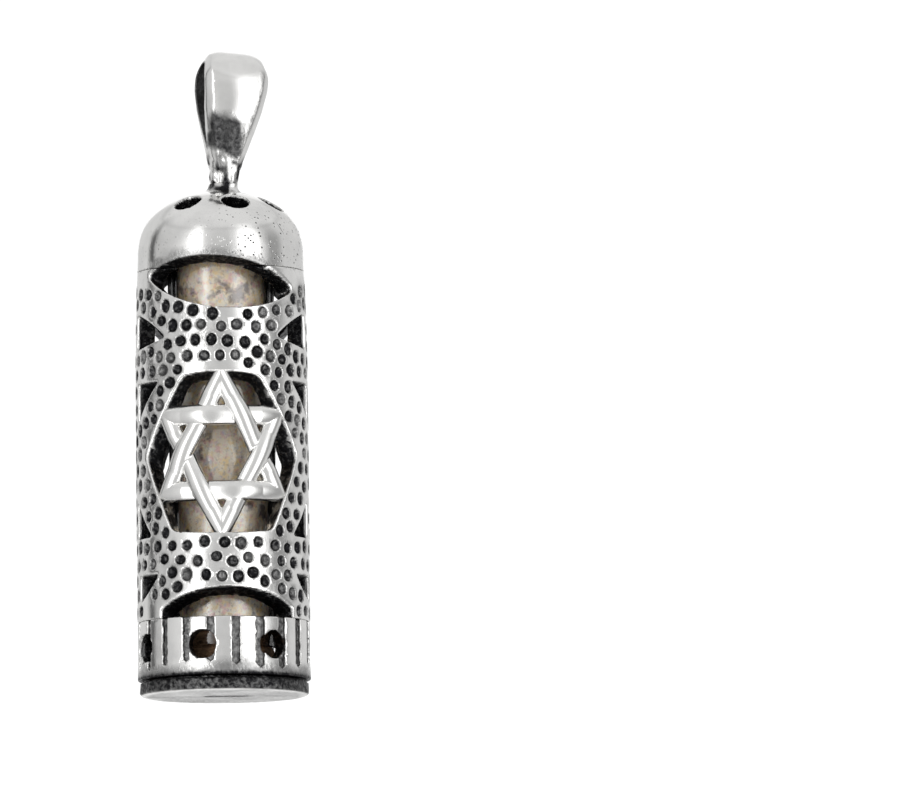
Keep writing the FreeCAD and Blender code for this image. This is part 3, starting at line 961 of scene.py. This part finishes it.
def vial_mesh():
    """A glass tube, closed at its top, with a rounded lip at its mouth."""
    inner = VIAL_R - VIAL_WALL
    spread = [(VIAL_MOUTH + (VIAL_TOP - VIAL_CORNER - VIAL_MOUTH) * i / 12) for i in range(1, 12)]
    outside = [(VIAL_R, z) for z in spread] + corner_arc(VIAL_R, VIAL_TOP, VIAL_CORNER) + [(0, VIAL_TOP)]
    inside_top = corner_arc(inner, VIAL_TOP - VIAL_WALL, VIAL_CORNER - VIAL_WALL)
    inside = [(0, VIAL_TOP - VIAL_WALL)] + inside_top[::-1] + [(inner, z) for z in spread[::-1]]
    chamfer = ((0, VIAL_LIP), (VIAL_LIP * 0.3, VIAL_LIP * 0.3), (VIAL_LIP, 0))
    lip_in = [(inner + inset, VIAL_MOUTH + rise) for inset, rise in chamfer]
    lip_out = [(VIAL_R - inset, VIAL_MOUTH + rise) for inset, rise in chamfer[::-1]]
    mesh = lathe(inside + lip_in + lip_out + outside)
    face_outwards(mesh)
    return mesh


SCROLL_R = float(node_box("scroll")[1][0])
SCROLL_Z, SCROLL_TOP = level("scroll", False), level("scroll", True)
SCROLL_HOLLOW_R = 1.25
SHEET = 0.11
SHEET_TURNS = 5.3
SHEET_START = 150.0  # degrees from the front at which the outer end lies
SHEET_STEPS = 72  # to a turn
SHEET_ROWS = 70


def scroll_mesh():
    """A strip of parchment wound up tight, as a thin closed spiral with slight dents and uneven ends."""
    along, up = int(SHEET_TURNS * SHEET_STEPS), SHEET_ROWS
    points = np.empty((2, along + 1, up + 1, 3))
    share = np.linspace(0, 1, along + 1)
    turn = np.radians(SHEET_START) - tau * SHEET_TURNS * share
    r_out = SCROLL_R - 0.02 - (SCROLL_R - SCROLL_HOLLOW_R - SHEET) * share
    rise = np.linspace(0, 1, up + 1)
    wide = np.zeros((along + 1, up + 1))
    round_x, round_y = 8 * np.sin(turn)[:, None], 8 * np.cos(turn)[:, None]
    where = np.stack([round_x + wide, round_y + wide, rise * 20 + wide], -1)
    dents = 0.012 * noise(where.reshape(-1, 3), 3.0, 12).reshape(wide.shape)
    ragged = 0.05 * noise(np.stack([30 * share, 0 * share, 0 * share], 1), 1.0, 13)[:, None]
    z = SCROLL_Z + 0.08 + (SCROLL_TOP - SCROLL_Z - 0.16) * rise + ragged * np.sign(rise - 0.5)
    for face, inset in enumerate((0.0, SHEET)):
        r = np.repeat((r_out - inset)[:, None], up + 1, 1) - 0.012 - dents
        points[face] = np.stack([r * np.sin(turn)[:, None], -r * np.cos(turn)[:, None], z], -1)
    index = np.arange(points[..., 0].size).reshape(points.shape[:3])
    faces = []
    for face, order in ((0, 1), (1, -1)):
        a, b, c, d = index[face, :-1, :-1], index[face, 1:, :-1], index[face, 1:, 1:], index[face, :-1, 1:]
        faces.append(np.stack([a, b, c, d][::order], -1).reshape(-1, 4))
    for row, order in ((index[:, :, 0], -1), (index[:, :, -1], 1), (index[:, 0], 1), (index[:, -1], -1)):
        a, b, c, d = row[0, :-1], row[0, 1:], row[1, 1:], row[1, :-1]
        faces.append(np.stack([a, b, c, d][::order], -1))
    mesh = bpy.data.meshes.new("scroll")
    mesh.from_pydata((points.reshape(-1, 3) * MM).tolist(), [], np.concatenate(faces).tolist())
    face_outwards(mesh)
    mesh.shade_smooth()
    mesh.set_sharp_from_angle(angle=radians(50))
    return mesh


# ---------------------------------------------------------------- stage

VIEW_WIDTH = 45.0
CAMERA_FAR = 1200.0
CAMERA_AIM = (11.65, 0.0, 14.43)
CAMERA_RISE = -5.6
CAMERA_ROLL = -0.6
FLOOR_Z = -60.0  # clear of the base when every joint is at its limit
FLOOR_HALF = 400.0
SOFTBOX_AIM = (0, 0, 15)
# Name, azimuth, rise, distance, width, height and watts
SOFTBOXES = (("left_softbox", -34, 12, 260, 30, 200, 0.09), ("right_softbox", 40, 12, 260, 60, 200, 0.13))


def add_camera():
    """Long lens that looks slightly up at the case and is rolled a little."""
    data = bpy.data.cameras.new("camera")
    camera = bpy.data.objects.new("camera", data)
    bpy.context.scene.collection.objects.link(camera)
    rise = radians(CAMERA_RISE)
    back = Vector((0, -cos(rise), sin(rise)))
    camera.location = (Vector(CAMERA_AIM) + back * CAMERA_FAR) * MM
    facing = back.to_track_quat("Z", "Y") @ Matrix.Rotation(radians(CAMERA_ROLL), 3, "Z").to_quaternion()
    camera.rotation_euler = facing.to_euler()
    data.lens = data.sensor_width * CAMERA_FAR / VIEW_WIDTH
    data.clip_start = 0.01
    data.clip_end = 10
    bpy.context.scene.camera = camera


def add_softbox(name, azimuth, rise, distance, width, height, watts):
    """Area light that faces the case from a direction: azimuth 0 is the front and 90 is +X."""
    data = bpy.data.lights.new(name, "AREA")
    data.shape = "RECTANGLE"
    data.size, data.size_y = width * MM, height * MM
    data.energy = watts
    light = bpy.data.objects.new(name, data)
    bpy.context.scene.collection.objects.link(light)
    a, e = radians(azimuth), radians(rise)
    away = Vector((sin(a) * cos(e), -cos(a) * cos(e), sin(e)))
    light.location = (Vector(SOFTBOX_AIM) + away * distance) * MM
    light.rotation_euler = away.to_track_quat("Z", "Y").to_euler()
    light.visible_glossy = False


# Brightness of the studio at each azimuth in degrees: 0 is in front of the case and 90 is towards +X
STUDIO_ROUND = (
    (-180, 1.1), (-168, 1.1), (-160, 0.66), (-122, 0.66), (-113, 0.08), (-107, 0.1), (-102, 0.5),
    (-75, 0.62), (-58, 0.74), (-47, 1.0), (-37, 3.0), (-31, 2.8), (-23, 0.75), (-10, 0.6), (12, 0.56),
    (22, 0.9), (34, 2.3), (46, 2.5), (58, 1.1), (66, 0.62), (76, 0.3), (88, 0.34), (100, 0.66),
    (160, 0.66), (168, 1.1), (180, 1.1),
)
STUDIO_TOP = 0.72
STUDIO_EDGE = 0.62  # sine of the height at which the studio's sides meet its top


def add_world():
    """White studio: sides whose brightness changes round about, a top, and a faint darker line between."""
    world = bpy.data.worlds.new("studio")
    bpy.context.scene.world = world
    world.use_nodes = True
    tree = world.node_tree
    tree.nodes.clear()
    direction = node(tree, "ShaderNodeTexCoord").outputs["Generated"]
    x, y, z = node(tree, "ShaderNodeSeparateXYZ", Vector=direction).outputs
    azimuth = arithmetic(tree, "ARCTAN2", x, arithmetic(tree, "MULTIPLY", y, -1.0))
    ramp = node(tree, "ShaderNodeValToRGB", Fac=remap(tree, azimuth, -pi, pi))
    elements = ramp.color_ramp.elements
    elements.remove(elements[1])
    for turn, value in STUDIO_ROUND:
        element = elements.new(turn / 360 + 0.5) if turn > -180 else elements[0]
        element.color = (value, value, value, 1)
    high = remap(tree, z, STUDIO_EDGE - 0.3, STUDIO_EDGE + 0.14)
    colour = blend_colour(tree, high, ramp.outputs[0], (STUDIO_TOP,) * 3)
    beside = arithmetic(tree, "ABSOLUTE", arithmetic(tree, "SUBTRACT", z, STUDIO_EDGE))
    line = remap(tree, beside, 0.0, 0.05, 0.8, 1.0)
    background = node(tree, "ShaderNodeBackground", Color=colour, Strength=line)
    node(tree, "ShaderNodeOutputWorld", Surface=background.outputs[0])


def add_floor():
    """Plain pale floor that doesn't show in the silver."""
    mesh = bpy.data.meshes.new("floor")
    half = FLOOR_HALF * MM
    corners = [(-half, -half, 0), (half, -half, 0), (half, half, 0), (-half, half, 0)]
    mesh.from_pydata(corners, [], [(0, 1, 2, 3)])
    floor = bpy.data.objects.new("floor", mesh)
    floor.location.z = FLOOR_Z * MM
    bpy.context.scene.collection.objects.link(floor)
    material, tree = blank("floor")
    grain = speckle(tree, place(tree), 0.05, 3.0)
    colour = blend_colour(tree, grain, (0.80, 0.80, 0.80), (0.86, 0.86, 0.86))
    shader = node(tree, "ShaderNodeBsdfPrincipled", Base_Color=colour, Roughness=0.6)
    node(tree, "ShaderNodeOutputMaterial", Surface=shader.outputs[0])
    mesh.materials.append(material)
    floor.visible_glossy = False


bpy.context.scene.view_settings.view_transform = "Standard"
add_camera()
add_world()
for softbox in SOFTBOXES:
    add_softbox(*softbox)
add_floor()


# ---------------------------------------------------------------- pieces

ROUND_BAND = (BORE_R - 0.25, CASE_R + 0.25)
r = CASE_R
mesh = carve(sleeve_field, (-r, -r, SLEEVE_Z), (r, r, CAP_Z), 0.06, lattice_tone, 0.08, ROUND_BAND)
finish_piece("sleeve_openwork", mesh, "case", "lattice_sleeve", silver("lattice_silver"))
mesh = carve(dome_field, (-r, -r, 20.0), (r, r, DOME_Z + DOME_H), 0.07, dome_tone, 0.03)
finish_piece("dome_shell", mesh, "case", "dome_cap", silver("dome_silver", 0.13, specks=0.9))
mesh = carve(ring_field, (-r, -r, FOOT_Z), (r, r, SLEEVE_Z), 0.06, ring_tone, 0.05, ROUND_BAND)
finish_piece("grooved_ring", mesh, "case", "foot_ring", silver("ring_silver"))

emblem_silver = silver("emblem_silver", 0.22)
for name, turn in (("front", 0), ("back", pi)):
    mesh = carve(star_field, (-3.7, -4.5, HEX_Z - 4), (3.7, -1.8, HEX_Z + 4), 0.05, star_tone, 0.02)
    mesh.transform(Matrix.Rotation(turn, 4, "Z"))
    finish_piece(f"woven_star_{name}", mesh, "case", f"{name}_emblem", emblem_silver)

bail_silver = silver("bail_silver", 0.17, mottle=0.06)
mesh = carve(bail_field, (-1.6, -2.1, BAIL_Z - 0.1), (2.4, 2.1, 31.5), 0.045, bail_tone, 0.02)
finish_piece("bail_strap", mesh, "case", "bail_loop", bail_silver)
mesh = carve(post_field, (-1.6, -1.6, 24.0), (1.9, 1.6, BAIL_Z + 0.1), 0.04, bail_tone, 0.02)
finish_piece("bail_solder", mesh, "case", "bail_post", bail_silver)

base_silver = silver("base_silver", 0.35, 0.004, tarnish=0.6)
mesh = carve(base_field, (-r, -r, 0), (r, r, BASE_TOP), 0.06, base_tone, 0.05)
finish_piece("base_disc", mesh, "base", "base_plug", base_silver)
mesh = carve(cork_field, (-2.6, -2.6, CORK_Z), (2.6, 2.6, CORK_TOP), 0.07, None, 0.03)
finish_piece("cork_stopper", mesh, "stopper", "vial_stopper", cork("cork"))
finish_piece("vial_tube", vial_mesh(), "vial", "glass_vial", glass("clear_glass"))
finish_piece("scroll_roll", scroll_mesh(), "scroll", "scroll", parchment("parchment"))
